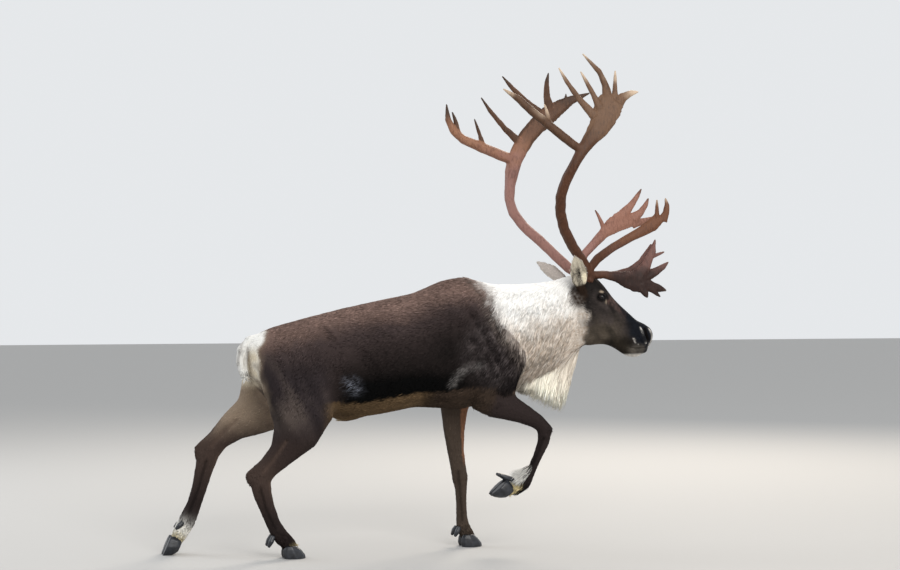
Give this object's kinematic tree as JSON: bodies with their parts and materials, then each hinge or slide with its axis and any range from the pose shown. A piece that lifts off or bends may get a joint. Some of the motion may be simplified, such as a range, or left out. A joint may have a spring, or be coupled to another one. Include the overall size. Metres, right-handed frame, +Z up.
{
  "type": "reindeer",
  "caption": "Life-size bull reindeer walking, with large palmed antlers, pale neck mane, short tail and cloven hooves; a still figure resting on its feet.",
  "frame": {"origin": "on the floor, under the middle of the animal's box", "axes": "+X towards the nose, +Y towards the animal's left side, +Z up"},
  "size_m": [2.2766, 0.737, 2.169],
  "materials": {
    "body_coat": "dense short autumn fur, dark brown with a lighter reddish back and a near-black flank band",
    "pale_coat": "long cream and grey-white hair of the neck, throat fringe, rump and tail",
    "face_coat": "very short dark brown face hair, blackest on the muzzle, with a white lower lip",
    "leg_coat": "short grey-brown leg hair with white hair round the hooves",
    "antler": "bare antler bone, reddish brown with fine grooves and rubbed pale tips",
    "hoof": "black horn, slightly glossy, with faint growth rings",
    "eye": "wet dark brown eye"
  },
  "bodies": {
    "root": {"trunk": "body_coat", "neck": "pale_coat", "head": "face_coat", "throat_mane": "pale_coat", "tail": "pale_coat", "ear_left": "face_coat", "ear_right": "face_coat", "eye_left": "eye", "eye_right": "eye", "antler_left_beam": "antler", "antler_left_crown": "antler", "antler_left_rear_tine": "antler", "antler_left_bez_tine": "antler", "antler_left_brow_tine": "antler", "antler_right_beam": "antler", "antler_right_crown": "antler", "antler_right_rear_tine": "antler", "antler_right_bez_tine": "antler", "antler_right_brow_tine": "antler", "leg_fore_left_upper": "leg_coat", "leg_fore_left_cannon": "leg_coat", "leg_fore_left_pastern": "leg_coat", "hoof_fore_left_a": "hoof", "dewclaw_fore_left_a": "hoof", "hoof_fore_left_b": "hoof", "dewclaw_fore_left_b": "hoof", "leg_fore_right_upper": "leg_coat", "leg_fore_right_cannon": "leg_coat", "leg_fore_right_pastern": "leg_coat", "hoof_fore_right_a": "hoof", "dewclaw_fore_right_a": "hoof", "hoof_fore_right_b": "hoof", "dewclaw_fore_right_b": "hoof", "leg_hind_left_upper": "leg_coat", "leg_hind_left_cannon": "leg_coat", "leg_hind_left_pastern": "leg_coat", "hoof_hind_left_a": "hoof", "dewclaw_hind_left_a": "hoof", "hoof_hind_left_b": "hoof", "dewclaw_hind_left_b": "hoof", "leg_hind_right_upper": "leg_coat", "leg_hind_right_cannon": "leg_coat", "leg_hind_right_pastern": "leg_coat", "hoof_hind_right_a": "hoof", "dewclaw_hind_right_a": "hoof", "hoof_hind_right_b": "hoof", "dewclaw_hind_right_b": "hoof"}
  },
  "joints": []
}
